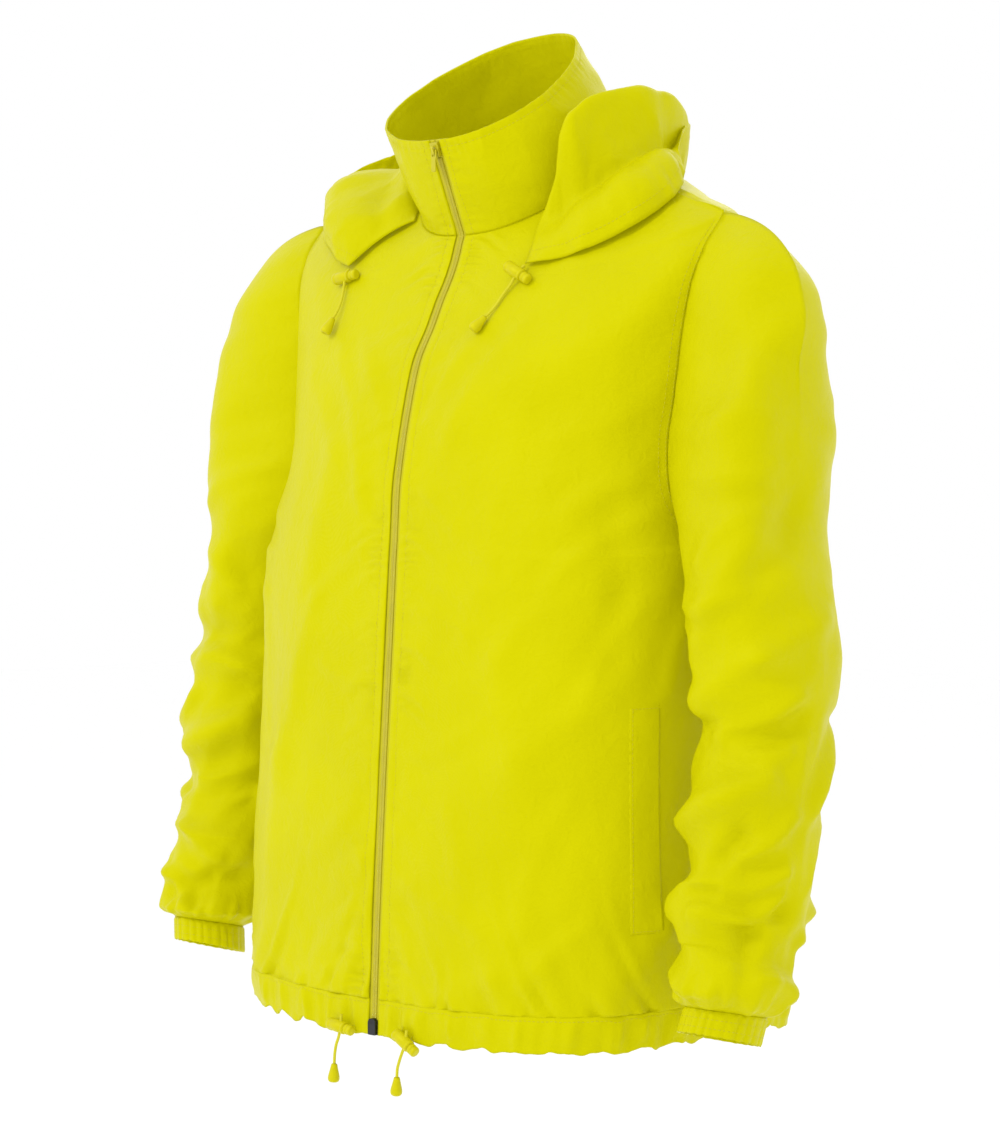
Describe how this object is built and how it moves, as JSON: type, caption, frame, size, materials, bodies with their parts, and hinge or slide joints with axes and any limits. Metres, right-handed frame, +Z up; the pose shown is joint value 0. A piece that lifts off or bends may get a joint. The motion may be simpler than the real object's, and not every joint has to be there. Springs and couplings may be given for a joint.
{
  "type": "windbreaker jacket",
  "caption": "Hooded windbreaker in light woven nylon with a stand collar, full-length front zip, elasticated cuffs, drawcord hem, laid-back drawcord hood and upright welt pockets, filled out",
  "frame": {"origin": "middle of the neck opening, level with the neck ends of the shoulder seams", "axes": "+Z up, the front faces -Y, +X is the wearer's left"},
  "size_m": [0.6507, 0.3251, 0.7925],
  "materials": {
    "nylon": "thin woven nylon, soft sheen",
    "tape": "knitted zip tape, matt",
    "coil": "nylon coil, satin",
    "lacquer": "satin lacquer",
    "dark_metal": "dark satin metal",
    "moulded": "moulded plastic, satin",
    "cord": "braided round cord, matt"
  },
  "bodies": {
    "jacket": {"front_left": "nylon", "front_right": "nylon", "back": "nylon", "collar": "nylon", "sleeve_left": "nylon", "sleeve_right": "nylon", "hood": "nylon", "hem_front_left": "nylon", "hem_front_right": "nylon", "hem_back": "nylon", "cuff_left": "nylon", "cuff_right": "nylon", "zip_tape_left": "tape", "zip_tape_right": "tape", "zip_chain": "coil", "zip_slider": "lacquer", "zip_bottom_box": "dark_metal", "pocket_welt_left": "nylon", "pocket_welt_right": "nylon", "hood_cord_left": "cord", "hood_bell_left": "moulded", "hood_lock_left": "moulded", "hood_cord_right": "cord", "hood_bell_right": "moulded", "hood_lock_right": "moulded", "hem_cord_left": "cord", "hem_bell_left": "moulded", "hem_lock_left": "moulded", "hem_cord_right": "cord", "hem_bell_right": "moulded", "hem_lock_right": "moulded"},
    "pull": {"zip_pull": "lacquer"}
  },
  "joints": [
    {"name": "pull_swing", "type": "hinge", "parent": "jacket", "child": "pull", "pos_m": [0, -0.10384, 0.00245], "axis": [1, 0, 0], "range_deg": [-150, 20]}
  ]
}
